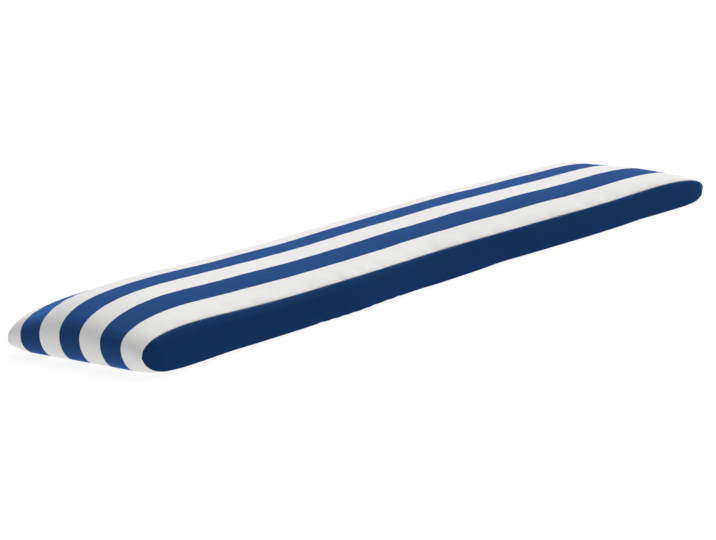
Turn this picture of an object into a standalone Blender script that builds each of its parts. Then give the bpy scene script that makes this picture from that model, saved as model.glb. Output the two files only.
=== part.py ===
"""A long striped bench cushion with plain side panels.

One length of striped cloth runs over the top, round both short ends and under
the bottom. A plain round-ended panel closes each long side. The fill crowns the
top between its seams, and the long sides and the ends pull in between the
corners. The cushion lies along X on its flat underside, at z = 0, and its front
side faces -Y.
"""

import math
from typing import NamedTuple

import bpy
import numpy as np

# Overall sizes, in metres
LENGTH = 1.524  # between the corners
CLOTH_WIDTH = 0.457  # of the striped cloth, from seam to seam

# Top
CROWN_POWER = 2.282  # 2 is a round crown, and more is flatter with fuller sides
CREST_PLACE = 0.208  # where the crown is highest: 0 is the middle and 1 the back seam

# Round ends
TIP_SHARE = 0.348  # height of the outermost point, as a share of the seams' height there
TIP_HEIGHT_CROWN = 0.0093  # how much higher it is where the crown is full
TIP_HEIGHT_SLOPE = -0.0046  # how much lower it is at the back corner
END_PULL = 0.0038  # how far the middle of the end lies inside its corners
OVER_RUN = 0.285  # length over which the top comes down to the tip, at a corner
OVER_RUN_CROWN = 0.087  # how much longer it is where the crown is full
OVER_POWER = 2.490
UNDER_RUN = 0.0228  # length over which the underside rises to the tip
UNDER_RUN_CORNER = 0.0197  # how much longer it is at a corner
UNDER_CORNER_POWER = 8  # how close to the corners it grows longer
UNDER_POWER = 1.744

# Underside and side panels
SEAM_LIFT = 0.0022  # height of the lower long seams above the flat underside
SEAM_LIFT_SHARE = 0.10  # share of the half width over which the underside rises
SIDE_BULGE = 0.12  # how far a long side swells out, as a share of its height
SIDE_BULGE_POWER = 0.75
PANEL_THICKNESS = 0.0016
PANEL_GAP = 0.0005

# Points of the meshes
POINTS_ALONG = 73
POINTS_ACROSS = 29
POINTS_UP_SIDE = 9
FINE_POINTS = 1201
END_SPACING = 0.36  # spacing of the points at the tips, as a share of the average

# Colours
CREAM = (0.80, 0.79, 0.76)
NAVY = (0.018, 0.070, 0.230)


class Section(NamedTuple):
    """The cushion's heights and draw-in at one place along it."""

    along: float  # -1 is the near end and 1 is the far end
    seam: float  # height of the upper long seams
    crown: float  # rise of the middle of the top above the seams
    front_in: float  # how far the front side is drawn in
    back_in: float  # how far the back side is drawn in


SECTIONS = (
    Section(-1.000, 0.0871, 0.0481, +0.0017, +0.0000),
    Section(-0.667, 0.0665, 0.0453, +0.0007, +0.0030),
    Section(-0.333, 0.0634, 0.0411, -0.0004, +0.0060),
    Section(+0.000, 0.0611, 0.0448, +0.0124, +0.0075),
    Section(+0.333, 0.0586, 0.0474, +0.0067, +0.0060),
    Section(+0.667, 0.0576, 0.0442, -0.0006, +0.0025),
    Section(+1.000, 0.0662, 0.0506, -0.0017, -0.0005),
)


def smooth_column(name: str, along: np.ndarray) -> np.ndarray:
    """Read one column of SECTIONS as a smooth curve along the cushion."""
    places = np.array([row.along for row in SECTIONS])
    values = np.array([getattr(row, name) for row in SECTIONS])
    slopes = np.gradient(values, places)
    left = np.clip(np.searchsorted(places, along) - 1, 0, len(places) - 2)
    span = places[left + 1] - places[left]
    t = (along - places[left]) / span
    ends = values[left] * (1 + 2 * t) * (1 - t) ** 2 + values[left + 1] * t**2 * (3 - 2 * t)
    bends = slopes[left] * t * (1 - t) ** 2 - slopes[left + 1] * t**2 * (1 - t)
    return ends + span * bends


def rounded(distance: np.ndarray, run: float, power: float) -> np.ndarray:
    """A quarter of a superellipse: 0 at the tip, and 1 once past the run."""
    left_to_go = np.clip(1 - distance / run, 0, 1)
    return (1 - left_to_go**power) ** (1 / power)


def evenly_spread(line: np.ndarray, places: np.ndarray) -> np.ndarray:
    """Points on a line, at places given as shares of its length."""
    steps = np.linalg.norm(np.diff(line, axis=0), axis=1)
    travelled = np.concatenate([[0], np.cumsum(steps)])
    wanted = places * travelled[-1]
    return np.column_stack([np.interp(wanted, travelled, column) for column in line.T])


def places_along() -> np.ndarray:
    """Shares of a line's length, from 0 to 1, closer together at the two tips."""
    even = np.linspace(0, 1, POINTS_ALONG)
    bunched = (1 - np.cos(math.pi * even)) / 2
    return END_SPACING * even + (1 - END_SPACING) * bunched


def cloth_lines(across: float) -> tuple[np.ndarray, np.ndarray]:
    """The lengthwise lines of the striped cloth at one place across it.

    across runs from -1 at the front seam to 1 at the back seam. The first line
    runs from tip to tip over the top, and the second one along the underside.
    """
    reach = 1 + CREST_PLACE if across < CREST_PLACE else 1 - CREST_PLACE
    from_crest = (across - CREST_PLACE) / reach
    full = 1 - abs(from_crest) ** CROWN_POWER
    half_length = LENGTH / 2 - END_PULL * (1 - across**2)
    x = -half_length * np.cos(np.linspace(0, math.pi, FINE_POINTS))
    distance = half_length - np.abs(x)
    along = np.clip(2 * x / LENGTH, -1, 1)
    seam_at_end = np.where(x < 0, SECTIONS[0].seam, SECTIONS[-1].seam)
    tip = TIP_SHARE * seam_at_end + TIP_HEIGHT_CROWN * full + TIP_HEIGHT_SLOPE * across

    over = rounded(distance, OVER_RUN + OVER_RUN_CROWN * full, OVER_POWER)
    crown = smooth_column("crown", along)
    top = tip + (smooth_column("seam", along) + crown * full - tip) * over

    under_run = UNDER_RUN + UNDER_RUN_CORNER * abs(across) ** UNDER_CORNER_POWER
    under = rounded(distance, under_run, UNDER_POWER)
    beyond_flat = max(0.0, abs(across) - (1 - SEAM_LIFT_SHARE)) / SEAM_LIFT_SHARE
    bottom = tip + (SEAM_LIFT * beyond_flat**2 - tip) * under

    # The cloth keeps its width over the crown, so the crown narrows the cushion
    half_width = CLOTH_WIDTH / 2
    steepness = crown * over * CROWN_POWER / (half_width * reach)
    order = 2 * CROWN_POWER - 1
    lost = steepness**2 * abs(from_crest) ** (order - 1) / (2 * order)
    narrowed = CREST_PLACE + reach * from_crest * (1 - lost)
    front_in = smooth_column("front_in", along) * (1 - across) / 2
    back_in = smooth_column("back_in", along) * (1 + across) / 2
    y = half_width * narrowed + front_in - back_in

    places = places_along()
    top_line = evenly_spread(np.column_stack([x, y, top]), places)
    bottom_line = evenly_spread(np.column_stack([x, y, bottom]), places)
    bottom_line[0] = top_line[0]
    bottom_line[-1] = top_line[-1]
    return top_line, bottom_line


def side_sheet(side: int, out: float) -> np.ndarray:
    """The swelling face between the two seams of one long side, as rows of points.

    side is -1 for the front and 1 for the back, and out is how far the face lies
    outside the seams.
    """
    top_line, bottom_line = cloth_lines(float(side))
    height = np.linalg.norm(top_line - bottom_line, axis=1)
    rows = []
    for step in np.linspace(0, math.pi, POINTS_UP_SIDE):
        share = (1 - math.cos(step)) / 2
        row = bottom_line + (top_line - bottom_line) * share
        swell = SIDE_BULGE * height * (4 * share * (1 - share)) ** SIDE_BULGE_POWER
        row[:, 1] += side * (out + swell)
        rows.append(row)
    return np.array(rows)


def grid_faces(numbers: np.ndarray) -> list[tuple[int, ...]]:
    """The faces between neighbouring rows and columns of numbered points."""
    faces = []
    for row in range(numbers.shape[0] - 1):
        for column in range(numbers.shape[1] - 1):
            corners = (
                numbers[row, column],
                numbers[row, column + 1],
                numbers[row + 1, column + 1],
                numbers[row + 1, column],
            )
            face = tuple(dict.fromkeys(int(corner) for corner in corners))
            if len(face) > 2:
                faces.append(face)
    return faces


class PointList:
    """Points of a mesh, each kept once."""

    def __init__(self) -> None:
        self.points: list[tuple[float, ...]] = []
        self.number_of: dict[tuple[float, ...], int] = {}

    def number(self, grid: np.ndarray) -> np.ndarray:
        """Number the points of a grid, giving points in the same place one number."""
        numbers = np.empty(grid.shape[:2], int)
        for place in np.ndindex(*grid.shape[:2]):
            point = tuple(round(float(value), 7) for value in grid[place])
            if point not in self.number_of:
                self.number_of[point] = len(self.points)
                self.points.append(point)
            numbers[place] = self.number_of[point]
        return numbers


def cloth(slot: str, colour: tuple[float, float, float]) -> bpy.types.Material:
    """Make a matt cloth material."""
    material = bpy.data.materials.new(slot)
    material.use_nodes = True
    shader = material.node_tree.nodes["Principled BSDF"]
    shader.inputs["Base Color"].default_value = (*colour, 1.0)
    shader.inputs["Roughness"].default_value = 0.9
    return material


def new_object(
    name: str, points: PointList, faces: list[tuple[int, ...]], material: bpy.types.Material
) -> bpy.types.Object:
    """Make a smooth-shaded mesh object in the cushion's collection."""
    mesh = bpy.data.meshes.new(name)
    mesh.from_pydata(points.points, [], faces)
    mesh.shade_smooth()
    mesh.materials.append(material)
    obj = bpy.data.objects.new(name, mesh)
    bpy.data.collections["bench_cushion"].objects.link(obj)
    return obj


def build_body(material: bpy.types.Material) -> bpy.types.Object:
    """The filled striped cover: top, ends, underside and the faces of the fill at the sides."""
    places = np.linspace(-1, 1, POINTS_ACROSS)
    lines = [cloth_lines(float(across)) for across in places]
    points = PointList()
    faces = grid_faces(points.number(np.array([top for top, bottom in lines])))
    faces += grid_faces(points.number(np.array([bottom for top, bottom in lines]))[::-1])
    faces += grid_faces(points.number(side_sheet(-1, 0.0)))
    faces += grid_faces(points.number(side_sheet(1, 0.0))[::-1])
    return new_object("striped_body", points, faces, material)


def build_panel(name: str, side: int, material: bpy.types.Material) -> bpy.types.Object:
    """One plain side panel, a cloth sheet just outside the fill."""
    points = PointList()
    numbers = points.number(side_sheet(side, PANEL_GAP))
    faces = grid_faces(numbers if side < 0 else numbers[::-1])
    panel = new_object(name, points, faces, material)
    sheet = panel.modifiers.new("Cloth thickness", "SOLIDIFY")
    sheet.thickness = PANEL_THICKNESS
    sheet.offset = 1.0
    return panel


def centre(pieces: list[bpy.types.Object]) -> None:
    """Move the pieces along X and Y so that the middle of their box is at the origin."""
    bpy.context.view_layer.update()
    corners = np.array([corner for piece in pieces for corner in piece.bound_box])
    middle = (corners.min(axis=0) + corners.max(axis=0)) / 2
    for piece in pieces:
        for vertex in piece.data.vertices:
            vertex.co.x -= middle[0]
            vertex.co.y -= middle[1]


def main() -> None:
    """Clear the scene and build the cushion in its own collection."""
    for obj in list(bpy.data.objects):
        bpy.data.objects.remove(obj)
    collection = bpy.data.collections.new("bench_cushion")
    bpy.context.scene.collection.children.link(collection)
    striped = cloth("striped_cloth", CREAM)
    plain = cloth("plain_cloth", NAVY)
    front_panel = build_panel("front_panel", -1, plain)
    back_panel = build_panel("back_panel", 1, plain)
    centre([build_body(striped), front_panel, back_panel])


if __name__ == "__main__":
    main()
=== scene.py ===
"""The striped bench cushion, dressed: cloth, seams, puckers, camera and light.

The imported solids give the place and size. The cover and the side panels are built
again on the same sizes, with far more points, seams turned in, creases and stitches.
"""

import logging
import math
from dataclasses import dataclass
from enum import Enum
from typing import Any

import bpy
import numpy as np
from mathutils import Matrix, Vector


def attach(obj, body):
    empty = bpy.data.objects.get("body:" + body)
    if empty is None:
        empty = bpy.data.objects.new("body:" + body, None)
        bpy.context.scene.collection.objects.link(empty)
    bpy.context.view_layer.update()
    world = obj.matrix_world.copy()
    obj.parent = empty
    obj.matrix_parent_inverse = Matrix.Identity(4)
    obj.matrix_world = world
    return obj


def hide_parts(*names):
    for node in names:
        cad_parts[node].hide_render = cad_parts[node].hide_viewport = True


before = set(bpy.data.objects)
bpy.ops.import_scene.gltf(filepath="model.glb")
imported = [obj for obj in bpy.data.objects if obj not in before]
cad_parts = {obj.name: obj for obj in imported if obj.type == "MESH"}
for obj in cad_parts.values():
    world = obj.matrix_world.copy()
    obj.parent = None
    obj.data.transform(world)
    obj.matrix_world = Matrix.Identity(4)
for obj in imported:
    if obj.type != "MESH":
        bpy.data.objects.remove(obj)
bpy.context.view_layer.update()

LOG = logging.getLogger("bench_cushion")
PICTURE_WIDTH = 716  # the picture's width in pixels
SENSOR_WIDTH = 36.0
POINT_DIGITS = 7  # points whose places agree to this many decimals are one point
BESIDE_RIM = 0.995  # a place across the cloth just inside the back seam


class Side(Enum):
    """The two long sides of the cushion."""

    FRONT = -1
    BACK = 1

    @property
    def row(self) -> int:
        """Return the number of this side's own row across the cloth."""
        return 0 if self is Side.FRONT else -1


def linked(name: str, data: bpy.types.ID) -> bpy.types.Object:
    """Make an object and link it to the scene.

    Args:
        name: The object's name.
        data: Its mesh, camera or lamp.

    Returns:
        The new object.
    """
    obj = bpy.data.objects.new(name, data)
    bpy.context.scene.collection.objects.link(obj)
    return obj


def meshed(name: str, points: list, edges: list, faces: list) -> bpy.types.Object:
    """Make an object from a mesh's own lists.

    Args:
        name: The object's name.
        points: The place of each point.
        edges: Pairs of point numbers.
        faces: The point numbers of each face.

    Returns:
        The new object, linked to the scene.
    """
    mesh = bpy.data.meshes.new(name)
    mesh.from_pydata(points, edges, faces)
    return linked(name, mesh)


# --- shader maths
class Wire:
    """A value in a node tree, which Python's operators turn into Math nodes."""

    def __init__(self, nodes: "NodeMaker", socket: bpy.types.NodeSocket) -> None:
        """Keep the socket and the maker that adds the nodes."""
        self.nodes = nodes
        self.socket = socket

    def math(self, operation: str, *others: "Wire | float") -> "Wire":
        """Put this value first in a Math node."""
        values = dict(enumerate([self, *others]))
        return self.nodes.add("ShaderNodeMath", values, {"operation": operation})

    def output(self, name: str | int) -> "Wire":
        """Return another output of the same node."""
        return Wire(self.nodes, self.socket.node.outputs[name])

    def __add__(self, other: "Wire | float") -> "Wire":
        """Return this plus other."""
        return self.math("ADD", other)

    def __mul__(self, other: "Wire | float") -> "Wire":
        """Return this times other."""
        return self.math("MULTIPLY", other)

    def __sub__(self, other: "Wire | float") -> "Wire":
        """Return this less other."""
        return self.math("SUBTRACT", other)

    def __truediv__(self, other: "Wire | float") -> "Wire":
        """Return this divided by other."""
        return self.math("DIVIDE", other)

    def __abs__(self) -> "Wire":
        """Return this without its sign."""
        return self.math("ABSOLUTE")

    __radd__ = __add__
    __rmul__ = __mul__


class NodeMaker:
    """Adds nodes to one node tree and links them."""

    def __init__(self, tree: bpy.types.NodeTree) -> None:
        """Keep the tree and empty it."""
        self.tree = tree
        tree.nodes.clear()

    def add(
        self,
        kind: str,
        values: dict[str | int, Any] | None = None,
        settings: dict[str, Any] | None = None,
        output: str | int = 0,
    ) -> Wire:
        """Add a node, set it up and link it.

        Args:
            kind: The node's type.
            values: A number, a colour or a Wire for each named or numbered input.
            settings: The node's own settings, which are set first.
            output: The output that is wanted.

        Returns:
            The wanted output.
        """
        node = self.tree.nodes.new(kind)
        for name, value in (settings or {}).items():
            setattr(node, name, value)
        for name, value in (values or {}).items():
            if isinstance(value, Wire):
                self.tree.links.new(value.socket, node.inputs[name])
            else:
                node.inputs[name].default_value = value
        return Wire(self, node.outputs[output])

    def surface(self, shader: Wire, kind: str = "ShaderNodeOutputMaterial") -> None:
        """Send a shader to the surface of the material or the world."""
        output = self.tree.nodes.new(kind)
        self.tree.links.new(shader.socket, output.inputs["Surface"])

    def scaled(self, colour: tuple[float, float, float], by: Wire) -> Wire:
        """Multiply a colour by a brightness."""
        return self.add("ShaderNodeVectorMath", {0: colour, "Scale": by}, {"operation": "SCALE"})

    def noise(self, place: Wire, scale: float, detail: float = 2.0) -> Wire:
        """Add an even noise from 0 to 1 around 0.5."""
        values = {"Vector": place, "Scale": scale, "Detail": detail}
        return self.add("ShaderNodeTexNoise", values)


# --- form
@dataclass(frozen=True)
class Section:
    """The cushion's heights and draw-in at one place along it."""

    along: float  # -1 is the near end and 1 is the far end
    seam: float  # height of the upper long seams
    crown: float  # rise of the middle of the top above the seams
    front_in: float  # how far the front side is drawn in
    back_in: float  # how far the back side is drawn in


@dataclass(frozen=True)
class CushionForm:
    """The shape of the cushion, with the part's own sizes in metres.

    Every method takes across, a place on the striped cloth from -1 at the front
    seam to 1 at the back seam.
    """

    length: float = 1.524
    cloth_width: float = 0.457
    crown_power: float = 2.282
    crest_place: float = 0.208
    tip_share: float = 0.348
    tip_height_crown: float = 0.0093
    tip_height_slope: float = -0.0046
    end_pull: float = 0.0038
    over_run: float = 0.285
    over_run_crown: float = 0.087
    over_power: float = 2.490
    under_run: float = 0.0228
    under_run_corner: float = 0.0197
    under_corner_power: float = 8
    under_power: float = 1.744
    seam_lift: float = 0.0022
    seam_lift_share: float = 0.10
    middle: tuple[float, float] = (-0.000160, -0.000767)
    end_spacing: float = 0.36
    fine_points: int = 2401
    sections: tuple[Section, ...] = (
        Section(-1.000, 0.0871, 0.0481, +0.0017, +0.0000),
        Section(-0.667, 0.0665, 0.0453, +0.0007, +0.0030),
        Section(-0.333, 0.0634, 0.0411, -0.0004, +0.0060),
        Section(+0.000, 0.0611, 0.0448, +0.0124, +0.0075),
        Section(+0.333, 0.0586, 0.0474, +0.0067, +0.0060),
        Section(+0.667, 0.0576, 0.0442, -0.0006, +0.0025),
        Section(+1.000, 0.0662, 0.0506, -0.0017, -0.0005),
    )

    def column(self, name: str, along: np.ndarray) -> np.ndarray:
        """Read one column of the sections as a smooth curve.

        Args:
            name: The column.
            along: Places along the cushion, from -1 to 1.

        Returns:
            The column's value at each place.
        """
        places = np.array([row.along for row in self.sections])
        values = np.array([getattr(row, name) for row in self.sections])
        slopes = np.gradient(values, places)
        left = np.clip(np.searchsorted(places, along) - 1, 0, len(places) - 2)
        span = places[left + 1] - places[left]
        t = (along - places[left]) / span
        ends = values[left] * (1 + 2 * t) * (1 - t) ** 2 + values[left + 1] * t**2 * (3 - 2 * t)
        bends = slopes[left] * t * (1 - t) ** 2 - slopes[left + 1] * t**2 * (1 - t)
        return ends + span * bends

    @staticmethod
    def rounded(distance: np.ndarray, run: float, power: float) -> np.ndarray:
        """Rise from 0 at the tip to 1 past the run, as a quarter superellipse."""
        left_to_go = np.clip(1 - distance / run, 0, 1)
        return (1 - left_to_go**power) ** (1 / power)

    def shares(self, count: int) -> np.ndarray:
        """Share out a line's length from 0 to 1, closer together at the tips."""
        even = np.linspace(0, 1, count)
        return self.end_spacing * even + (1 - self.end_spacing) * (1 - np.cos(math.pi * even)) / 2

    @staticmethod
    def spread(line: np.ndarray, shares: np.ndarray) -> np.ndarray:
        """Place points on a line.

        Args:
            line: The line's own points.
            shares: Where the new points go, as shares of its length.

        Returns:
            The new points, with their distance along the line in a fourth column.
        """
        travelled = np.concatenate([[0], np.cumsum(np.linalg.norm(np.diff(line, axis=0), axis=1))])
        wanted = shares * travelled[-1]
        columns = [np.interp(wanted, travelled, column) for column in line.T]
        return np.column_stack([*columns, wanted])

    def lines(self, across: float, count: int) -> tuple[np.ndarray, np.ndarray]:
        """Trace the cloth lengthwise, over the top and along the underside.

        Args:
            across: The place across the cloth.
            count: How many points each line has.

        Returns:
            The upper and the lower line, with the columns of spread.
        """
        reach = 1 + self.crest_place if across < self.crest_place else 1 - self.crest_place
        from_crest = (across - self.crest_place) / reach
        full = 1 - abs(from_crest) ** self.crown_power
        half_length = self.length / 2 - self.end_pull * (1 - across**2)
        x = -half_length * np.cos(np.linspace(0, math.pi, self.fine_points))
        distance = half_length - np.abs(x)
        along = np.clip(2 * x / self.length, -1, 1)
        seam_at_end = np.where(x < 0, self.sections[0].seam, self.sections[-1].seam)
        tip = self.tip_share * seam_at_end + self.tip_height_crown * full
        tip = tip + self.tip_height_slope * across
        over = self.rounded(distance, self.over_run + self.over_run_crown * full, self.over_power)
        crown = self.column("crown", along)
        top = tip + (self.column("seam", along) + crown * full - tip) * over
        under_run = self.under_run + self.under_run_corner * abs(across) ** self.under_corner_power
        under = self.rounded(distance, under_run, self.under_power)
        beyond_flat = max(0.0, abs(across) - 1 + self.seam_lift_share) / self.seam_lift_share
        bottom = tip + (self.seam_lift * beyond_flat**2 - tip) * under

        half_width = self.cloth_width / 2
        steepness = crown * over * self.crown_power / (half_width * reach)
        order = 2 * self.crown_power - 1
        lost = steepness**2 * abs(from_crest) ** (order - 1) / (2 * order)
        y = half_width * (self.crest_place + reach * from_crest * (1 - lost))
        y = y + self.column("front_in", along) * (1 - across) / 2
        y = y - self.column("back_in", along) * (1 + across) / 2

        x = x - self.middle[0]
        y = y - self.middle[1]
        shares = self.shares(count)
        upper = self.spread(np.column_stack([x, y, top]), shares)
        lower = self.spread(np.column_stack([x, y, bottom]), shares)
        lower[0, :3] = upper[0, :3]
        lower[-1, :3] = upper[-1, :3]
        return upper, lower

    def from_tip(self, x: np.ndarray) -> np.ndarray:
        """Measure how far each X is from the nearer tip."""
        return self.length / 2 - np.abs(x + self.middle[0])

    def ring(self, across: float, count: int) -> np.ndarray:
        """Trace the cloth all round, over the top and back along the underside.

        Args:
            across: The place across the cloth.
            count: How many points there are from tip to tip.

        Returns:
            The points, with the distance along the cloth in a fourth column. The
            last point lies on the first.
        """
        upper, lower = self.lines(across, count)
        back = lower[::-1][1:].copy()
        back[:, 3] = upper[-1, 3] + lower[-1, 3] - back[:, 3]
        return np.concatenate([upper, back])


@dataclass(frozen=True)
class Pucker:
    """One soft crease that runs from a seam into the cloth."""

    place: float  # X of its seam end, in metres
    depth: float
    reach: float  # how far it runs from the seam
    width: float
    slant: float  # how far it moves along X for each metre from the seam


@dataclass(frozen=True)
class SeamPuckers:
    """All the creases along one seam: those that show in the photo, and small even ones."""

    shown: tuple[Pucker, ...] = ()
    seed: int = 1
    spacing: float = 0.024
    depth: float = 0.0004
    reach: float = 0.020
    start: float = 0.006
    place_spread: float = 0.45  # this and both widths are shares of the spacing
    depth_spread: float = 0.8
    reach_spread: float = 0.5
    width: float = 0.26
    width_spread: float = 0.08
    slant_spread: float = 0.5
    lips: float = 0.5  # how far the cloth beside a crease rises
    reach_power: float = 1.6

    def all(self, half_length: float) -> list[Pucker]:
        """List the seam's creases.

        Args:
            half_length: Half the cushion's length.

        Returns:
            The creases that show, followed by the small ones.
        """
        draw = np.random.default_rng(self.seed)
        count = int(2 * half_length / self.spacing)
        small = []
        for place in np.linspace(-half_length, half_length, count):
            moved, depth, reach, width, slant = draw.uniform(-1, 1, 5)
            pucker = Pucker(
                place + moved * self.spacing * self.place_spread,
                self.depth * (1 + self.depth_spread * depth),
                self.reach * (1 + self.reach_spread * reach),
                self.spacing * (self.width + self.width_spread * width),
                self.slant_spread * slant,
            )
            small.append(pucker)
        return [*self.shown, *small]

    def depths(self, x: np.ndarray, from_seam: np.ndarray, half_length: float) -> np.ndarray:
        """Work out how deep the creases are.

        Args:
            x: X of each point.
            from_seam: Each point's distance from the seam, over the cloth.
            half_length: Half the cushion's length.

        Returns:
            How far each point is pushed in.
        """
        depths = np.zeros(np.broadcast(x, from_seam).shape)
        for pucker in self.all(half_length):
            off = (x - pucker.place - pucker.slant * from_seam) / pucker.width
            fade = np.exp(-((from_seam / pucker.reach) ** self.reach_power))
            depths += pucker.depth * np.exp(-(off**2)) * (1 - self.lips * off**2) * fade
        return depths * (1 - np.exp(-from_seam / self.start))


SHOWN_AT_FRONT = tuple(
    Pucker(*row)
    for row in (
        (-0.5599, 0.0012, 0.030, 0.013, +0.3), (-0.5025, 0.0011, 0.026, 0.012, -0.2),
        (-0.4390, 0.0014, 0.028, 0.011, +0.4), (-0.3717, 0.0021, 0.032, 0.011, +0.5),
        (-0.3024, 0.0021, 0.030, 0.010, +0.4), (-0.2418, 0.0022, 0.034, 0.010, +0.5),
        (-0.1903, 0.0022, 0.030, 0.010, +0.3), (-0.1165, 0.0025, 0.034, 0.011, +0.5),
        (-0.0413, 0.0039, 0.040, 0.012, +0.6), (+0.0553, 0.0025, 0.032, 0.011, +0.4),
        (+0.1262, 0.0025, 0.034, 0.012, +0.5), (+0.2046, 0.0019, 0.028, 0.012, +0.3),
        (+0.2848, 0.0022, 0.032, 0.013, +0.5), (+0.3914, 0.0022, 0.034, 0.014, +0.4),
        (+0.4702, 0.0022, 0.032, 0.015, +0.4),
    )
)


# --- meshes
class Sheet:
    """Collects grids of points and the faces between them into one mesh."""

    def __init__(self) -> None:
        """Start with no points."""
        self.points: list[tuple[float, ...]] = []
        self.faces: list[tuple[int, ...]] = []
        self.flat: list[list[tuple[float, float]]] = []
        self.number_of: dict[tuple[float, ...], int] = {}

    def number(self, point: np.ndarray) -> int:
        """Give a point its number, the same one for the same place.

        Args:
            point: The point's place.

        Returns:
            Its number.
        """
        key = tuple(round(float(value), POINT_DIGITS) for value in point)
        if key not in self.number_of:
            self.number_of[key] = len(self.points)
            self.points.append(key)
        return self.number_of[key]

    def grid(self, places: np.ndarray, flat: np.ndarray, flip: bool = False) -> None:
        """Add the faces of one grid.

        Args:
            places: Rows of points, three numbers each.
            flat: The same points on the flat cloth, in metres, two numbers each.
            flip: Whether the faces point the other way.
        """
        rows, columns = places.shape[:2]
        numbers = [[self.number(places[r, c]) for c in range(columns)] for r in range(rows)]
        for r in range(rows - 1):
            for c in range(columns - 1):
                around = [(r, c), (r, c + 1), (r + 1, c + 1), (r + 1, c)]
                if flip:
                    around.reverse()
                corners = {}
                for place in around:
                    corners.setdefault(numbers[place[0]][place[1]], place)
                if len(corners) > 2:
                    self.faces.append(tuple(corners))
                    self.flat.append([tuple(flat[place]) for place in corners.values()])

    def mesh_object(self, name: str) -> bpy.types.Object:
        """Make the mesh, smooth, with the flat cloth as its UV map.

        Args:
            name: The object's name.

        Returns:
            The new object, linked to the scene.
        """
        obj = meshed(name, self.points, [], self.faces)
        layer = obj.data.uv_layers.new(name="cloth")
        corners = [corner for face in self.flat for corner in face]
        layer.data.foreach_set("uv", np.array(corners, np.float32).ravel())
        obj.data.shade_smooth()
        return obj


def unit(vectors: np.ndarray) -> np.ndarray:
    """Scale vectors to a length of 1."""
    return vectors / np.maximum(np.linalg.norm(vectors, axis=-1, keepdims=True), 1e-12)


def turn_in(distance: np.ndarray, radius: float) -> np.ndarray:
    """Turn a cloth's edge in, as a quarter circle: 1 at the edge and 0 past the radius."""
    left = np.clip(1 - distance / radius, 0, 1)
    return 1 - np.sqrt(1 - left**2)


def eased(distance: np.ndarray, run: float) -> np.ndarray:
    """Rise smoothly from 0 to 1."""
    t = np.clip(distance / run, 0, 1)
    return t * t * (3 - 2 * t)


def ring_normals(rings: np.ndarray) -> np.ndarray:
    """Find the outward normals of the cover's cloth.

    Args:
        rings: One closed ring of points for each place across.

    Returns:
        A unit vector for each point.
    """
    open_rings = rings[:, :-1]
    by_column = np.roll(open_rings, -1, axis=1) - np.roll(open_rings, 1, axis=1)
    by_row = np.gradient(open_rings, axis=0)
    normals = unit(np.cross(by_column, by_row))
    return np.concatenate([normals, normals[:, :1]], axis=1)


# --- finishes
@dataclass(frozen=True)
class Yarn:
    """One dyed yarn: its colour, and the soft shine of its fibres."""

    colour: tuple[float, float, float]
    sheen: float
    sheen_tint: tuple[float, float, float]
    sheen_roughness: float = 0.25
    roughness: float = 0.88
    specular: float = 0.12

    def shader(self, nodes: NodeMaker, shade: Wire, normal: Wire) -> Wire:
        """Add the shader of cloth woven from this yarn.

        Args:
            nodes: Adds the nodes.
            shade: A brightness around 1 that varies over the cloth, with painted shade between the
                threads.
            normal: The normal, with the weave's bumps.

        Returns:
            The shader.
        """
        values = {
            "Base Color": nodes.scaled(self.colour, shade),
            "Roughness": self.roughness,
            "Specular IOR Level": self.specular,
            "Sheen Weight": self.sheen,
            "Sheen Tint": (*self.sheen_tint, 1.0),
            "Sheen Roughness": self.sheen_roughness,
            "Normal": normal,
        }
        return nodes.add("ShaderNodeBsdfPrincipled", values)


CREAM = Yarn(colour=(0.80, 0.795, 0.785), sheen=0.10, sheen_tint=(1.0, 1.0, 1.0))
BLUE = Yarn(
    colour=(0.0062, 0.0350, 0.1140),
    sheen=1.0,
    sheen_tint=(0.12, 0.33, 1.0),
    sheen_roughness=0.38,
    specular=0.03,
)


@dataclass(frozen=True)
class Weave:
    """The plain weave of an outdoor cloth, seen close to."""

    thread: float = 0.00062
    depth: float = 0.00012
    strength: float = 0.55
    mean_height: float = 0.4
    # painted shade: how much darker the cloth is where the threads dip
    painted_shade_between_threads: float = 0.18
    slubs: float = 0.05
    mottle: float = 0.04

    def woven(self, nodes: NodeMaker) -> tuple[Wire, Wire, Wire, Wire]:
        """Add the weave, laid out on the flat cloth.

        Args:
            nodes: Adds the nodes.

        Returns:
            Metres across the cloth, the threads' height, a brightness around 1 with
            painted shade between the threads, and the normal.
        """
        place = nodes.add("ShaderNodeUVMap", None, {"uv_map": "cloth"})
        along = nodes.add("ShaderNodeSeparateXYZ", {0: place})
        across = along.output(1)
        height = self.height(along, across)
        shade = self.shade(nodes, along, across, height)
        values = {"Strength": self.strength, "Distance": self.depth, "Height": height}
        return across, height, shade, nodes.add("ShaderNodeBump", values)

    def height(self, along: Wire, across: Wire) -> Wire:
        """Weave the threads over and under each other.

        Args:
            along: Metres along the cloth.
            across: Metres across the cloth.

        Returns:
            The threads' height, from 0 to 1.
        """
        warp = (along * (math.pi / self.thread)).math("SINE")
        weft = (across * (math.pi / self.thread)).math("SINE")
        crossing = warp * weft
        return abs(crossing) * 0.75 + crossing * 0.25

    def shade(self, nodes: NodeMaker, along: Wire, across: Wire, height: Wire) -> Wire:
        """Vary the brightness with painted shade between the threads, the yarn's slubs and the dye.

        Args:
            nodes: Adds the nodes.
            along: Metres along the cloth.
            across: Metres across the cloth.
            height: The threads' height.

        Returns:
            A brightness around 1, with painted shade where the threads dip.
        """
        combine = "ShaderNodeCombineXYZ"
        warp = nodes.add(combine, {0: along * 0.03, 1: across})
        weft = nodes.add(combine, {0: along, 1: across * 0.03})
        place = nodes.add(combine, {0: along, 1: across})
        slubs = nodes.noise(warp, 900.0) + nodes.noise(weft, 700.0) - 1.0
        mottle = nodes.noise(place, 22.0, 4.0) - 0.5
        uneven = 1.0 + (slubs * self.slubs + mottle * self.mottle)
        # painted shade: darker between the threads, lighter where they rise
        return uneven * (1.0 + (height - self.mean_height) * self.painted_shade_between_threads)


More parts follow.
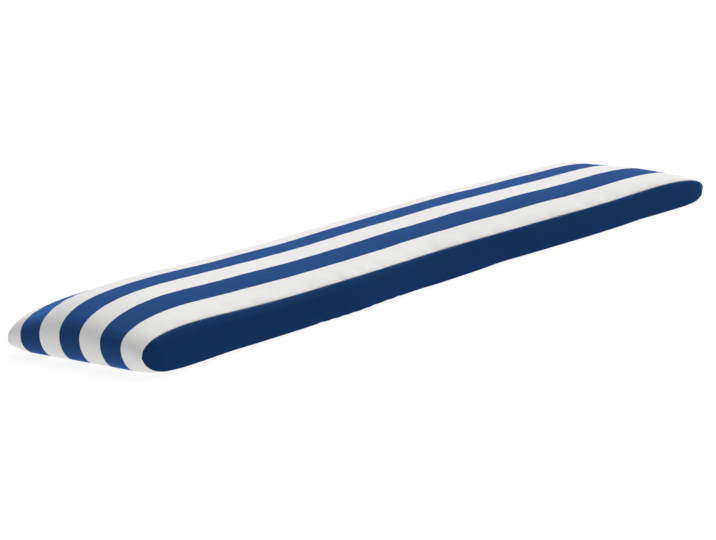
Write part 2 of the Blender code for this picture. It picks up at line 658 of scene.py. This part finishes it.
def new_material(name: str) -> tuple[bpy.types.Material, NodeMaker]:
    """Start a material with an empty node tree.

    Args:
        name: The material's name.

    Returns:
        The material, and what adds nodes to it.
    """
    material = bpy.data.materials.new(name)
    material.use_nodes = True
    return material, NodeMaker(material.node_tree)


@dataclass(frozen=True)
class StripedCloth:
    """Cream and blue stripes of one width, which run the length of the cushion."""

    stripe: float = 0.457 / 6.693
    edge: float = 0.0005
    blue_middle: float = 0.75  # this and half_blue are shares of a pair of stripes
    half_blue: float = 0.25
    weave: Weave = Weave()

    def material(self) -> bpy.types.Material:
        """Make the material.

        Returns:
            The striped cloth.
        """
        material, nodes = new_material("striped_cloth")
        across, height, shade, normal = self.weave.woven(nodes)
        frayed = across + (height - self.weave.mean_height) * self.edge
        in_pair = (frayed / (2 * self.stripe)).math("FRACT")
        from_blue = abs(in_pair - self.blue_middle)
        half_edge = self.edge / (4 * self.stripe)
        limits = {1: self.half_blue - half_edge, 2: self.half_blue + half_edge, 3: 1.0, 4: 0.0}
        is_blue = nodes.add("ShaderNodeMapRange", {0: from_blue, **limits})
        cream = CREAM.shader(nodes, shade, normal)
        blue = BLUE.shader(nodes, shade, normal)
        mixed = nodes.add("ShaderNodeMixShader", {0: is_blue, 1: cream, 2: blue})
        nodes.surface(mixed)
        return material


@dataclass(frozen=True)
class PlainCloth:
    """The plain blue cloth of the side panels."""

    weave: Weave = Weave()

    def material(self) -> bpy.types.Material:
        """Make the material.

        Returns:
            The plain cloth.
        """
        material, nodes = new_material("plain_cloth")
        _, _, shade, normal = self.weave.woven(nodes)
        nodes.surface(BLUE.shader(nodes, shade, normal))
        return material


@dataclass(frozen=True)
class SewingThread:
    """The dark blue thread of the seams, twisted from two plies, its twist painted as shade."""

    colour: tuple[float, float, float] = (0.010, 0.030, 0.090)
    # painted shade: the length of one turn of the twist, which the colour darkens and lightens along
    twist: float = 0.0011
    roughness: float = 0.6
    specular: float = 0.3

    def material(self) -> bpy.types.Material:
        """Make the material.

        Returns:
            The thread.
        """
        material, nodes = new_material("sewing_thread")
        place = nodes.add("ShaderNodeTexCoord", output="Object")
        parts = nodes.add("ShaderNodeSeparateXYZ", {0: place})
        along = parts + parts.output(2)
        # painted shade: the colour darkens and lightens along the twist, in place of the shade in the
        # grooves of the thread
        painted_twist_shade = 0.5 + 0.5 * (along * (2 * math.pi / self.twist)).math("SINE")
        colour = nodes.scaled(self.colour, 0.75 + 0.5 * painted_twist_shade)
        values = {
            "Base Color": colour,
            "Roughness": self.roughness,
            "Specular IOR Level": self.specular,
        }
        nodes.surface(nodes.add("ShaderNodeBsdfPrincipled", values))
        return material


# --- pieces
@dataclass(frozen=True)
class PlainSeam:
    """The sizes of the seams that join the cover to a side panel."""

    radius: float = 0.0030
    depth: float = 0.0015
    depth_at_tips: float = 0.45
    tip_run: float = 0.06
    gap: float = 0.0003
    rebate: float = 0.0022

    def depths(self, from_tip: np.ndarray) -> np.ndarray:
        """Work out how deep the seam lies."""
        risen = (1 - self.depth_at_tips) * eased(from_tip, self.tip_run)
        return self.depth * (self.depth_at_tips + risen)


@dataclass(frozen=True)
class GatheredCloth:
    """The top cloth, simulated: pushed out by its filling and gathered along its seams."""

    frames: int = 14
    quality: int = 5
    mass: float = 0.01
    pressure: float = 4.0
    stiffness: float = 15.0
    shear_share: float = 0.25
    bending: float = 0.02
    air_damping: float = 2.0
    gathered: float = 0.035
    gathered_run: float = 0.035
    held_ends: int = 10
    even_run: float = 0.03
    even_points: int = 1000
    even_cut: float = 2.5
    most: float = 0.0022

    def simulate(self, places: np.ndarray, held: np.ndarray, gathered: np.ndarray) -> np.ndarray:
        """Let the cloth settle between the places where it is held.

        Args:
            places: Rows of points, one for each place across.
            held: 1 for each point that stays where it is.
            gathered: How much each point's cloth is gathered, from 0 to 1.

        Returns:
            Where the points come to rest.
        """
        rows, columns = places.shape[:2]
        numbers = np.arange(rows * columns).reshape(rows, columns)
        corners = numbers[:-1, :-1], numbers[:-1, 1:], numbers[1:, 1:], numbers[1:, :-1]
        faces = np.stack(corners, axis=-1).reshape(-1, 4).tolist()
        top = meshed("gathered_cloth", places.reshape(-1, 3).tolist(), [], faces)
        for name, weights in (("held", held), ("gathered", gathered)):
            group = top.vertex_groups.new(name=name)
            for number, weight in enumerate(weights.ravel()):
                group.add([number], float(weight), "REPLACE")
        layer = top.modifiers.new("Cloth", "CLOTH")
        cloth = layer.settings
        cloth.quality = self.quality
        cloth.mass = self.mass
        cloth.air_damping = self.air_damping
        cloth.tension_stiffness = cloth.compression_stiffness = self.stiffness
        cloth.shear_stiffness = self.stiffness * self.shear_share
        cloth.bending_stiffness = self.bending
        cloth.vertex_group_mass = "held"
        cloth.vertex_group_shrink = "gathered"
        cloth.shrink_min, cloth.shrink_max = 0.0, -self.gathered
        cloth.use_pressure = True
        cloth.uniform_pressure_force = self.pressure
        cloth.effector_weights.gravity = 0.0
        layer.point_cache.frame_end = self.frames
        scene = bpy.context.scene
        for number in range(1, self.frames + 1):
            scene.frame_set(number)
        evaluated = top.evaluated_get(bpy.context.evaluated_depsgraph_get())
        settled = np.empty(places.size, np.float32)
        evaluated.data.vertices.foreach_get("co", settled)
        scene.frame_set(1)
        bpy.data.objects.remove(top)
        return settled.astype(float).reshape(places.shape)

    def evened(self, heights: np.ndarray, x: np.ndarray) -> np.ndarray:
        """Even out the heights along one row.

        Args:
            heights: The heights.
            x: X of each point.

        Returns:
            The broad rise and fall that is left.
        """
        fine = np.linspace(x[0], x[-1], self.even_points)
        reach = self.even_run / (fine[1] - fine[0])
        half = int(self.even_cut * reach)
        kernel = np.exp(-((np.arange(-half, half + 1) / reach) ** 2))
        padded = np.pad(np.interp(fine, x, heights), len(kernel) // 2, "edge")
        return np.interp(x, fine, np.convolve(padded, kernel / kernel.sum(), "valid"))

    @staticmethod
    def between(rows: np.ndarray) -> np.ndarray:
        """Put one more row between every two, on a smooth curve through four.

        Args:
            rows: Rows of heights.

        Returns:
            Twice the rows, less one.
        """
        padded = np.concatenate([rows[:1], rows, rows[-1:]])
        middles = (9 * (padded[1:-2] + padded[2:-1]) - padded[:-3] - padded[3:]) / 16
        finer = np.empty((2 * len(rows) - 1, rows.shape[1]))
        finer[::2], finer[1::2] = rows, middles
        return finer

    def creases(self, places: np.ndarray, normals: np.ndarray, from_seam: np.ndarray) -> np.ndarray:
        """Find the small creases of the settled cloth, with every second row simulated.

        Args:
            places: The top's points before it settles.
            normals: Their outward normals.
            from_seam: Each row's distance from its seam.

        Returns:
            How far each point moves out, capped at the most.
        """
        places, normals, from_seam = places[::2], normals[::2], from_seam[::2]
        held = np.zeros(places.shape[:2])
        held[0] = held[-1] = 1
        held[:, : self.held_ends] = held[:, -self.held_ends :] = 1
        gathered = np.exp(-((from_seam[:, None] / self.gathered_run) ** 2)) * np.ones_like(held)
        settled = self.simulate(places, held, gathered)
        out = ((settled - places) * normals).sum(axis=-1)
        small = out - np.array([self.evened(row, line[:, 0]) for row, line in zip(out, places)])
        return self.between(np.tanh(small / self.most) * self.most)


@dataclass
class StripedCover:
    """The filled striped cover, from its front seam over the top to its back seam."""

    form: CushionForm
    seam: PlainSeam
    finish: StripedCloth
    points_along: int = 361
    points_across: int = 121
    edge_crowding: float = 0.78
    end_fade: float = 0.05
    closing_depth: float = 0.006
    closing_share: float = 0.3
    closing_rows: tuple[tuple[float, float], ...] = ((0, 0), (0.3, 1), (0.7, 1), (1, 0))
    front_puckers: SeamPuckers = SeamPuckers(shown=SHOWN_AT_FRONT, seed=3)
    back_puckers: SeamPuckers = SeamPuckers(seed=4, depth=0.0007)
    lumps: float = 0.0008
    lump_seed: int = 11
    lump_waves: int = 7
    lump_low: tuple[float, ...] = (9, 1.5, 0, 0)  # waves along and across, and where they start
    lump_high: tuple[float, ...] = (34, 5, 6.3, 6.3)
    lump_share: float = 3
    lump_power: float = 3
    puff: float = 0.0026
    puff_run: float = 0.018
    puff_waves: tuple[tuple[float, float, float], ...] = ((0.18, 23, 0.6), (0.14, 41, 2.1))
    settling: GatheredCloth = GatheredCloth()
    crease_start: float = 0.004
    crease_fade: float = 0.20
    ridge: float = 0.0030
    ridge_place: float = 0.36
    ridge_width: float = 0.17
    ridge_power: float = 8
    fall: float = 0.0030
    fall_from: float = 0.35
    fade_run: float = 0.10
    below_share: float = 0.4

    def places_across(self) -> np.ndarray:
        """List the places across the cloth, closer together at the seams."""
        even = np.linspace(-1, 1, self.points_across)
        return even + self.edge_crowding * np.sin(math.pi * even) / math.pi

    def lump_heights(self, points: np.ndarray, across: np.ndarray) -> np.ndarray:
        """Raise and lower the filling softly.

        Args:
            points: The cover's points.
            across: The places across the cloth, as a column.

        Returns:
            A height from about -1 to 1 for each point.
        """
        draw = np.random.default_rng(self.lump_seed)
        heights = np.zeros(points.shape[:2])
        for _ in range(self.lump_waves):
            x_waves, across_waves, *starts = draw.uniform(self.lump_low, self.lump_high)
            along_x = np.sin(points[..., 0] * x_waves + starts[0])
            heights += along_x * np.sin(across * across_waves + starts[1])
        return heights / self.lump_share

    def crest_rise(self, across: np.ndarray) -> np.ndarray:
        """Sharpen the crest a little and let the cloth fall away behind it.

        Args:
            across: Places across the cloth.

        Returns:
            The height that is added at each place.
        """
        off = (across - self.ridge_place) / self.ridge_width
        ridge = np.exp(-(off**2)) * (1 - np.abs(across) ** self.ridge_power)
        behind = np.clip((across - self.fall_from) / (1 - self.fall_from), 0, 1)
        hollow = 16 * (behind * (1 - behind)) ** 2  # 1 at its deepest
        return self.ridge * ridge - self.fall * hollow

    def edge_puff(self, x: np.ndarray, from_seam: np.ndarray) -> np.ndarray:
        """Fill the cloth out beside a seam, so it rolls down to it.

        Args:
            x: X of each point.
            from_seam: Each point's distance from the seam, over the cloth.

        Returns:
            How far each point is pushed out.
        """
        run = from_seam / self.puff_run
        uneven = 1.0
        for height, waves, start in self.puff_waves:
            uneven = uneven + height * np.sin(x * waves + start)
        return self.puff * uneven * run * np.exp(1 - run)

    def surface(self) -> tuple[np.ndarray, np.ndarray]:
        """Shape the cloth with its seams turned in and its puckers.

        Returns:
            Rows of points, one for each place across, and their flat places.
        """
        across = self.places_across()
        traced = np.array([self.form.ring(float(place), self.points_along) for place in across])
        points, travelled = traced[..., :3], traced[..., 3]
        normals = ring_normals(points)
        from_seam = (1 - np.abs(across)) * self.form.cloth_width / 2
        on_top = np.arange(points.shape[1]) < self.points_along
        far_tip = travelled[:, self.points_along - 1 : self.points_along]
        tip_gap = np.minimum(travelled, np.abs(travelled - far_tip))
        tip_gap = np.minimum(tip_gap, travelled[:, -1:] - travelled)
        fade = eased(tip_gap, self.end_fade)
        moved = points.copy()
        for side, puckers in ((Side.FRONT, self.front_puckers), (Side.BACK, self.back_puckers)):
            rows = across * side.value > 0
            distance = np.broadcast_to(from_seam[rows, None], points[rows].shape[:2])
            depth = puckers.depths(points[rows][..., 0], distance, self.form.length / 2)
            depth = depth - self.edge_puff(points[rows][..., 0], distance) * on_top
            depth = depth * fade[rows] * np.where(on_top, 1.0, self.below_share)
            moved[rows] -= normals[rows] * depth[..., None]
            out = seam_outward(normals, side)
            turn = turn_in(distance, self.seam.radius) * self.seam.depths(tip_gap[rows])
            moved[rows] -= out[None] * turn[..., None]
        top = slice(None), slice(0, self.points_along)
        creases = self.settling.creases(moved[top], normals[top], from_seam)
        creases *= 1 - np.exp(-from_seam[:, None] / self.crease_start)
        creases *= eased(tip_gap[top], self.crease_fade)
        moved[top] += normals[top] * creases[..., None]
        lump = self.lump_heights(points, across[:, None])
        inner = np.clip(1 - np.abs(across[:, None]) ** self.lump_power, 0, 1)
        moved += normals * (lump * inner * self.lumps * fade * on_top)[..., None]
        moved[..., 2] += self.crest_rise(across)[:, None] * eased(tip_gap, self.fade_run) * on_top
        moved[..., 2] = np.maximum(moved[..., 2], 0.0)
        moved[:, -1] = moved[:, 0]
        over_cloth = (across[:, None] + 1) / 2 * self.form.cloth_width
        flat = np.stack([travelled, np.broadcast_to(over_cloth, travelled.shape)], axis=-1)
        return moved, flat

    def closing(self, points: np.ndarray, side: Side) -> np.ndarray:
        """Close the cover behind one side panel.

        Args:
            points: The cover's points.
            side: The long side.

        Returns:
            Rows of points from the lower to the upper seam.
        """
        rim = points[side.row]
        upper = rim[: self.points_along]
        lower = rim[self.points_along - 1 :][::-1]
        height = np.linalg.norm(upper - lower, axis=1)
        rows = [lower]
        for share, depth in self.closing_rows:
            row = lower + (upper - lower) * share
            inward = self.seam.rebate + (self.closing_depth - self.seam.rebate) * depth
            row[:, 1] -= side.value * np.minimum(inward, self.closing_share * height)
            rows.append(row)
        return np.array([*rows, upper])

    def build(self) -> bpy.types.Object:
        """Build the cover and dress it.

        Returns:
            The cover.
        """
        points, flat = self.surface()
        sheet = Sheet()
        sheet.grid(points, flat)
        for side in Side:
            rows = self.closing(points, side)
            sheet.grid(rows, rows[..., (0, 2)], flip=side is Side.BACK)
        cover = sheet.mesh_object("striped_cover")
        cover.data.materials.append(self.finish.material())
        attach(cover, "root")
        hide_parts("striped_body")
        return cover


def seam_outward(normals: np.ndarray, side: Side) -> np.ndarray:
    """Find the way out of a seam, halfway between the two cloths that meet in it."""
    return unit(normals[side.row] + np.array([0.0, float(side.value), 0.0]))


@dataclass(frozen=True)
class SeamLine:
    """The rim of one long side: its upper and lower halves from tip to tip, and the way out."""

    upper: np.ndarray
    lower: np.ndarray
    upper_out: np.ndarray
    lower_out: np.ndarray

    @classmethod
    def of(cls, form: CushionForm, side: Side, count: int) -> "SeamLine":
        """Trace the rim.

        Args:
            form: The cushion's shape.
            side: The long side.
            count: How many points each half has.

        Returns:
            The rim.
        """
        places = (-1.0, -BESIDE_RIM) if side is Side.FRONT else (BESIDE_RIM, 1.0)
        rings = np.array([form.ring(place, count) for place in places])[..., :3]
        rim = rings[side.row]
        out = seam_outward(ring_normals(rings), side)
        return cls(rim[:count], rim[count - 1 :][::-1], out[:count], out[count - 1 :][::-1])


@dataclass(frozen=True)
class EdgeWave:
    """How far a panel's lower edge is drawn in at one place, as seen on the floor."""

    place: float
    drawn_in: float


@dataclass(frozen=True)
class PanelEdges:
    """What differs between the two side panels."""

    waves: tuple[EdgeWave, ...] = ()
    even_edge: float = -0.004  # drawn in everywhere, where there are no waves
    scallops: tuple[float, ...] = ()  # X of each small scallop of the lower edge
    end_runs: tuple[float, float] = (0.06, 0.06)  # near and far, where the swell starts
    tip_inset: float = 0.0018


FRONT_WAVES = tuple(
    EdgeWave(*row)
    for row in (
        (-0.640, -0.0058), (-0.576, +0.0003), (-0.500, -0.0051), (-0.405, -0.0053),
        (-0.364, -0.0015), (-0.320, -0.0056), (-0.265, -0.0056), (-0.208, +0.0027),
        (-0.150, +0.0031), (-0.097, +0.0010), (-0.044, -0.0080), (+0.009, -0.0080),
        (+0.071, -0.0051), (+0.133, +0.0048), (+0.187, +0.0005), (+0.242, -0.0025),
        (+0.298, -0.0054), (+0.380, -0.0080), (+0.480, -0.0054), (+0.547, +0.0012),
        (+0.608, -0.0047), (+0.680, -0.0080),
    )
)

PANEL_EDGES = {
    Side.FRONT: PanelEdges(
        waves=FRONT_WAVES,
        scallops=(-0.3625, -0.3341, -0.3083, -0.2834, -0.2545, -0.2265, -0.1923, -0.1610),
        end_runs=(0.034, 0.012),
        tip_inset=0.0,
    ),
    Side.BACK: PanelEdges(),
}


@dataclass
class SidePanel:
    """One plain side panel, sewn between the long edges of the striped cover."""

    form: CushionForm
    seam: PlainSeam
    finish: bpy.types.Material
    side: Side
    points_along: int
    points_up: int = 33
    cloth: float = 0.0012
    stand: float = 0.0012
    swell: float = 0.135
    swell_height: float = 0.066
    most_inset: float = 0.4
    low_power: float = 0.12
    high_power: float = 0.55
    shoulder: float = 0.27
    shoulder_power: float = 1.35
    shoulder_swell: float = 0.32
    rise_share: float = 0.3
    droop: float = 0.0032
    droop_share: float = 0.03
    droop_lift: float = 0.004
    droop_starts: tuple[float, float] = (0.032, 0.030)
    droop_run: float = 0.05
    scallop_depth: float = 0.0050
    scallop_width: float = 0.0050
    scallop_height: float = 0.006
    wave_end: float = 0.76
    wave_points: int = 609
    blur_cut: float = 2.4
    blur_points: int = 25
    wave_height: float = 0.02
    wave_out: float = 0.5
    wave_up: float = 0.13
    upright_until: float = -0.40
    upright_run: float = 0.5
    least_height: float = 0.0003
    cut_width: float = 0.075
    puckers: tuple[SeamPuckers, ...] = tuple(
        SeamPuckers(seed=seed, spacing=0.03, depth=0.00035, reach=0.014) for seed in (7, 57)
    )

    def edge_wave(self, x: np.ndarray) -> np.ndarray:
        """Read the lower edge's waves.

        Args:
            x: X of each point.

        Returns:
            How far the lower edge is drawn in.
        """
        edges = PANEL_EDGES[self.side]
        if not edges.waves:
            return np.full_like(x, edges.even_edge)
        fine = np.linspace(-self.wave_end, self.wave_end, self.wave_points)
        places = [wave.place for wave in edges.waves]
        drawn = np.interp(fine, places, [wave.drawn_in for wave in edges.waves])
        spread = np.exp(-(np.linspace(-self.blur_cut, self.blur_cut, self.blur_points) ** 2))
        return np.interp(x, fine, np.convolve(drawn, spread / spread.sum(), "same"))

    def notches(self, x: np.ndarray) -> np.ndarray:
        """Read the small scallops of the lower edge."""
        off = (x[:, None] - np.array(PANEL_EDGES[self.side].scallops)) / self.scallop_width
        return self.scallop_depth * np.exp(-(off**2)).sum(axis=1)

    def fullness(self, share: np.ndarray, upright: np.ndarray) -> np.ndarray:
        """Work out how full the panel is from its lower to its upper seam.

        Args:
            share: Places up the panel, from 0 to 1.
            upright: How far the panel stands straight up to its shoulder, from 0 to 1.

        Returns:
            The swell at each place, as a share of the most.
        """
        peak = self.low_power / (self.low_power + self.high_power)
        fullest = peak**self.low_power * (1 - peak) ** self.high_power
        even = share**self.low_power * (1 - share) ** self.high_power / fullest
        over = np.clip((share - 1 + self.shoulder) / self.shoulder, 0, 1)
        rise = np.minimum(1, share / self.rise_share) ** self.low_power
        straight = rise * (1 - over**self.shoulder_power) * (1 + self.shoulder_swell)
        return even + (straight - even) * upright

    def surface(self) -> tuple[np.ndarray, np.ndarray]:
        """Shape the panel's outer face, from the lower to the upper seam.

        Returns:
            Rows of points, and their flat places.
        """
        edges = PANEL_EDGES[self.side]
        rim = SeamLine.of(self.form, self.side, self.points_along)
        x = rim.lower[:, 0]
        height = np.linalg.norm(rim.upper - rim.lower, axis=1)
        inset = np.minimum(self.seam.gap / np.maximum(height, 1e-9), self.most_inset)
        from_tip = self.form.from_tip(rim.upper[:, 0])
        end_fade = eased(from_tip, np.where(x < 0, *edges.end_runs))
        waves = self.edge_wave(x) * eased(from_tip, self.droop_run)
        notches = self.notches(x)
        lift = np.maximum(rim.lower[:, 2] - self.form.seam_lift, 0) / self.droop_lift
        past_start = from_tip - np.where(x < 0, *self.droop_starts)
        near_floor = np.exp(-(lift**2)) * eased(past_start, self.droop_run)
        upright = 1 - eased(x - self.upright_until, self.upright_run)
        swell = self.swell * np.minimum(height, self.swell_height)
        depths = (self.seam.depths(from_tip) + edges.tip_inset * (1 - end_fade))[:, None]
        rows, flat = [], []
        for step in np.linspace(0, math.pi, self.points_up):
            share = inset + (1 - math.cos(step)) / 2 * (1 - 2 * inset)
            points = rim.lower + (rim.upper - rim.lower) * share[:, None]
            low, high = height * share, height * (1 - share)
            edge = 1 - turn_in(np.minimum(low, high), self.seam.radius)
            full = self.fullness(share, upright)
            stand = self.seam.gap * end_fade + (self.stand + swell * full) * end_fade * edge
            for puckers, distance in zip(self.puckers, (low, high)):
                stand = stand - puckers.depths(points[:, 0], distance, self.form.length / 2) * edge
            drawn = waves * np.exp(-low / self.wave_height)
            drawn = (drawn + notches * np.exp(-low / self.scallop_height)) * edge
            points[:, 1] += self.side.value * (stand - self.wave_out * drawn)
            sag = share / self.droop_share
            fallen = self.droop * near_floor * sag * np.exp(1 - sag) * edge
            points[:, 2] -= fallen - self.wave_up * drawn
            turn_low, turn_high = turn_in(low, self.seam.radius), turn_in(high, self.seam.radius)
            both = np.maximum(turn_low + turn_high, 1.0)
            sunk = rim.lower_out * turn_low[:, None] + rim.upper_out * turn_high[:, None]
            points -= sunk / both[:, None] * depths
            points[:, 2] = np.maximum(points[:, 2], self.least_height)
            rows.append(points)
            flat.append(np.column_stack([points[:, 0], low]))
        return np.array(rows), np.array(flat)

    @staticmethod
    def area(rows: np.ndarray) -> float:
        """Measure the cloth in a grid of points."""
        doubled = np.cross(rows[1:, 1:] - rows[:-1, :-1], rows[1:, :-1] - rows[:-1, 1:])
        return float(np.linalg.norm(doubled, axis=2).sum() / 2)

    def build(self) -> bpy.types.Object:
        """Build the panel and dress it.

        Returns:
            The panel.
        """
        name = self.side.name.lower()
        points, flat = self.surface()
        sheet = Sheet()
        sheet.grid(points, flat, flip=self.side is Side.BACK)
        panel = sheet.mesh_object(f"{name}_side_panel")
        panel.data.materials.append(self.finish)
        cloth = panel.modifiers.new("Cloth thickness", "SOLIDIFY")
        cloth.thickness = self.cloth
        cloth.offset = -1.0
        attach(panel, "root")
        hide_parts(f"{name}_panel")
        return panel


@dataclass
class SeamStitches:
    """The lockstitches that hold one side panel, deep in its seam."""

    form: CushionForm
    seam: PlainSeam
    finish: bpy.types.Material
    side: Side
    points_along: int
    pitch: float = 0.0036
    stitch: float = 0.0028
    thread: float = 0.0005
    sunk: float = 0.5
    sunk_at_tips: float = 5.0
    hidden_run: float = 0.09
    sides: int = 6
    rings: int = 4

    def path(self) -> bpy.types.Object:
        """Trace the bottom of the seam as a closed line.

        Returns:
            An object whose mesh is that line.
        """
        rim = SeamLine.of(self.form, self.side, self.points_along)
        from_tip = self.form.from_tip(rim.upper[:, :1])
        sunk = self.sunk + self.sunk_at_tips * (1 - eased(from_tip, self.hidden_run))
        deep = self.seam.depths(from_tip) + self.thread * sunk
        upper = rim.upper - rim.upper_out * deep
        lower = rim.lower - rim.lower_out * deep
        points = np.concatenate([upper, lower[::-1][1:-1]])
        points[:, 1] += self.side.value * self.seam.gap / 2
        points[:, 2] = np.maximum(points[:, 2], self.thread)
        count = len(points)
        return meshed("seam_path", points.tolist(), [(i, (i + 1) % count) for i in range(count)], [])

    def tree(self) -> bpy.types.NodeTree:
        """Build the tree that lays stitches end to end along a path.

        Returns:
            The tree, with the stitch's sizes as named inputs.
        """
        tree = bpy.data.node_groups.new("stitches_along_path", "GeometryNodeTree")
        nodes = NodeMaker(tree)
        tree.interface.new_socket("Path", in_out="INPUT", socket_type="NodeSocketGeometry")
        for name in ("Pitch", "Stitch", "Thread"):
            tree.interface.new_socket(name, in_out="INPUT", socket_type="NodeSocketFloat")
        tree.interface.new_socket("Material", in_out="INPUT", socket_type="NodeSocketMaterial")
        tree.interface.new_socket("Stitches", in_out="OUTPUT", socket_type="NodeSocketGeometry")
        given = tree.nodes.new("NodeGroupInput")
        asked = {output.name: Wire(nodes, output) for output in given.outputs if output.name}
        thread = asked["Thread"]
        curve = nodes.add("GeometryNodeMeshToCurve", {0: asked["Path"]})
        even = {"Curve": curve, "Length": asked["Pitch"]}
        resampled = nodes.add("GeometryNodeResampleCurve", even, {"mode": "LENGTH"})
        places = nodes.add("GeometryNodeCurveToPoints", {"Curve": resampled}, {"mode": "EVALUATED"})
        shape = {"Segments": self.sides, "Rings": self.rings, "Radius": 0.5}
        ball = nodes.add("GeometryNodeMeshUVSphere", shape)
        size = nodes.add("ShaderNodeCombineXYZ", {0: thread, 1: thread, 2: asked["Stitch"]})
        laid = {"Points": places, "Instance": ball, "Rotation": places.output("Rotation"), "Scale": size}
        placed = nodes.add("GeometryNodeInstanceOnPoints", laid)
        real = nodes.add("GeometryNodeRealizeInstances", {0: placed})
        smooth = nodes.add("GeometryNodeSetShadeSmooth", {0: real})
        finish = {"Geometry": smooth, "Material": asked["Material"]}
        dressed = nodes.add("GeometryNodeSetMaterial", finish)
        result = tree.nodes.new("NodeGroupOutput")
        tree.links.new(dressed.socket, result.inputs["Stitches"])
        return tree

    def build(self) -> bpy.types.Object:
        """Lay the stitches and turn them into a plain mesh.

        Returns:
            The stitches.
        """
        path, tree = self.path(), self.tree()
        layer = path.modifiers.new("Stitches", "NODES")
        layer.node_group = tree
        asked = {"Pitch": self.pitch, "Stitch": self.stitch, "Thread": self.thread}
        asked["Material"] = self.finish
        for item in tree.interface.items_tree:
            if item.in_out == "INPUT" and item.name in asked:
                layer[item.identifier] = asked[item.name]
        bpy.context.view_layer.update()
        evaluated = path.evaluated_get(bpy.context.evaluated_depsgraph_get())
        mesh = bpy.data.meshes.new_from_object(evaluated)
        name = f"{self.side.name.lower()}_seam_stitches"
        mesh.name = name
        stitches = linked(name, mesh)
        bpy.data.objects.remove(path)
        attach(stitches, "root")
        return stitches


# --- studio
@dataclass(frozen=True)
class PhotoCamera:
    """The camera, where the photo was taken from."""

    azimuth: float = -39.5377
    elevation: float = 11.2755
    roll: float = -7.8005
    distance: float = 3.9617
    lens: float = 1990.3101 / PICTURE_WIDTH * SENSOR_WIDTH
    target: tuple[float, float, float] = (-0.13794, -0.08823, 0.04)
    clip_end: float = 200.0

    def build(self) -> None:
        """Make the camera and give it to the scene."""
        azimuth, elevation = math.radians(self.azimuth), math.radians(self.elevation)
        level = math.cos(elevation)
        back = Vector((math.sin(azimuth) * level, -math.cos(azimuth) * level, math.sin(elevation)))
        right = (-back).cross(Vector((0, 0, 1))).normalized()
        turned = Matrix.Rotation(math.radians(self.roll), 3, back) @ right
        columns = Matrix((turned, back.cross(turned), back)).transposed()
        data = bpy.data.cameras.new("photo_camera")
        data.sensor_width = SENSOR_WIDTH
        data.lens = self.lens
        data.clip_end = self.clip_end
        camera = linked("photo_camera", data)
        place = Vector(self.target) + back * self.distance
        camera.matrix_world = Matrix.Translation(place) @ columns.to_4x4()
        bpy.context.scene.camera = camera


@dataclass(frozen=True)
class Studio:
    """A pale floor without end under a soft light from above."""

    floor_half: float = 40.0
    floor_shade: float = 0.12
    floor_glow: float = 0.90
    overhead: float = 2.9
    overhead_spread: float = 45.0
    overhead_height: float = 4.0
    overhead_tilt: tuple[float, float] = (-14.0, 40.0)
    horizon: float = 1.5
    middle: float = 0.22
    zenith: float = 0.5
    bands: tuple[float, ...] = (0.10, 0.22, 0.45, 0.95)  # where the sky's brightness changes

    def floor(self) -> None:
        """Lay the floor."""
        half = self.floor_half
        corners = [(-half, -half, 0), (half, -half, 0), (half, half, 0), (-half, half, 0)]
        floor = meshed("floor", corners, [], [(0, 1, 2, 3)])
        material, nodes = new_material("studio_floor")
        values = {
            "Base Color": (self.floor_shade, self.floor_shade, self.floor_shade, 1.0),
            "Roughness": 1.0,
            "Specular IOR Level": 0.0,
            "Emission Color": (1.0, 1.0, 1.0, 1.0),
            "Emission Strength": self.floor_glow,
        }
        nodes.surface(nodes.add("ShaderNodeBsdfPrincipled", values))
        floor.data.materials.append(material)

    def sky(self) -> None:
        """Light the scene all round, brightest above and at the horizon."""
        world = bpy.data.worlds.new("studio")
        world.use_nodes = True
        nodes = NodeMaker(world.node_tree)
        place = nodes.add("ShaderNodeTexCoord", output="Generated")
        split = nodes.add("ShaderNodeSeparateXYZ", {0: place})
        up = split.output(2)
        soft = {"interpolation_type": "SMOOTHSTEP"}
        low_from, low_to, high_from, high_to = self.bands
        low = {0: up, 1: low_from, 2: low_to, 3: self.horizon, 4: self.middle}
        high = {0: up, 1: high_from, 2: high_to, 3: 0.0, 4: self.zenith}
        lower = nodes.add("ShaderNodeMapRange", low, soft)
        strength = lower + nodes.add("ShaderNodeMapRange", high, soft)
        light = nodes.add("ShaderNodeBackground", {"Strength": strength})
        nodes.surface(light, "ShaderNodeOutputWorld")
        bpy.context.scene.world = world

    def lamp(self) -> None:
        """Hang the soft overhead light."""
        data = bpy.data.lights.new("overhead", "SUN")
        data.energy = self.overhead
        data.angle = math.radians(self.overhead_spread)
        lamp = linked("overhead", data)
        lamp.location = (0.0, 0.0, self.overhead_height)
        lamp.rotation_euler = (*(math.radians(angle) for angle in self.overhead_tilt), 0.0)

    def build(self) -> None:
        """Set up the floor, the sky and the lamp."""
        self.floor()
        self.sky()
        self.lamp()
        bpy.context.scene.view_settings.view_transform = "Standard"


def main() -> None:
    """Build the cushion and its studio."""
    logging.basicConfig(level=logging.INFO, format="%(name)s: %(message)s")
    form = CushionForm()
    seam = PlainSeam()
    PhotoCamera().build()
    Studio().build()
    cover = StripedCover(form, seam, StripedCloth())
    pieces = [cover.build()]
    plain = PlainCloth().material()
    thread = SewingThread().material()
    for side in Side:
        pieces.append(SidePanel(form, seam, plain, side, cover.points_along).build())
        pieces.append(SeamStitches(form, seam, thread, side, cover.points_along).build())
    for piece in pieces:
        LOG.info("%s: %d faces", piece.name, len(piece.data.polygons))


if __name__ == "__main__":
    main()
